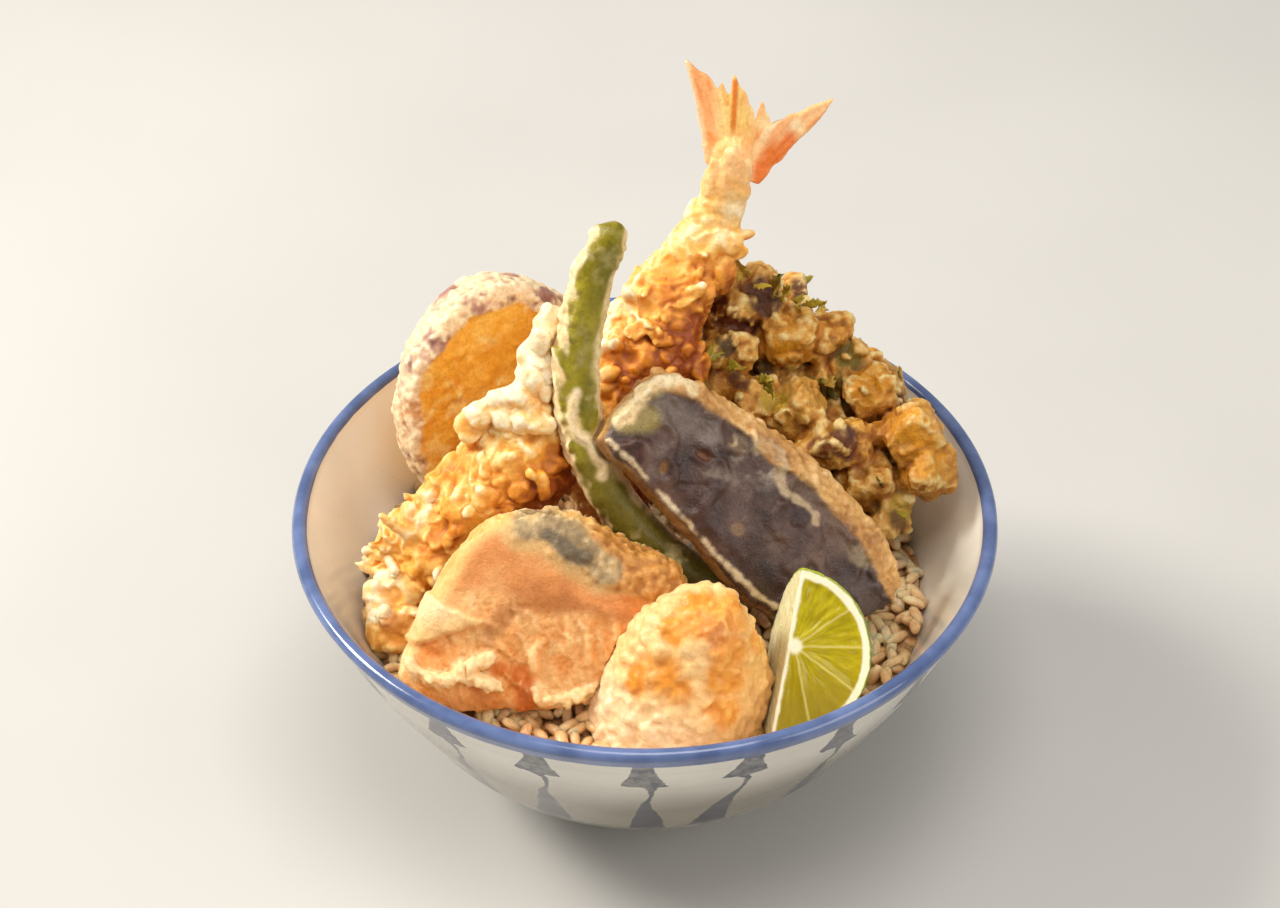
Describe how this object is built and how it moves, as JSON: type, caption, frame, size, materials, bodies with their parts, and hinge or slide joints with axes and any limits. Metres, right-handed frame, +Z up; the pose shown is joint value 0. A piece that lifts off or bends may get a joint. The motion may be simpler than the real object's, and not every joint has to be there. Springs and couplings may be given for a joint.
{
  "type": "tempura rice bowl",
  "caption": "Round footed bowl of rice heaped with battered fried shrimp, salmon, vegetables and a vegetable fritter, with grated radish and a piece of lime.",
  "frame": {"origin": "centre of the foot ring's underside, on the bowl's axis", "axes": "+Z up along the bowl's axis, -Y towards the side the heap faces, +X to that viewer's right"},
  "size_m": [0.155, 0.155, 0.152],
  "materials": {
    "bowl_glaze": "off-white gloss glaze with a painted blue rim and blue brush marks",
    "cooked_rice": "moist, slightly translucent grains",
    "shrimp_batter": "crisp, lumpy fried batter, cream to golden",
    "shrimp_shell": "cooked shell, satin",
    "green_pepper": "oiled olive green skin with thin batter",
    "eggplant": "dark purple skin, satin, battered edges",
    "sweet_potato": "orange-yellow flesh with a battered skin edge",
    "fritter": "fried diced vegetables in thin batter",
    "salmon": "pink-orange flesh with crinkled batter and a grey skin band",
    "grated_radish": "wet fine shreds with a sauce stain",
    "lime": "wet cut face, pale pith, green rind"
  },
  "bodies": {
    "root": {"bowl": "bowl_glaze", "rice": "cooked_rice", "upright_shrimp": "shrimp_batter", "leaning_shrimp": "shrimp_batter", "shrimp_tail": "shrimp_shell", "green_pepper": "green_pepper", "eggplant": "eggplant", "sweet_potato": "sweet_potato", "vegetable_fritter": "fritter", "salmon": "salmon", "grated_radish": "grated_radish", "lime": "lime"}
  },
  "joints": []
}
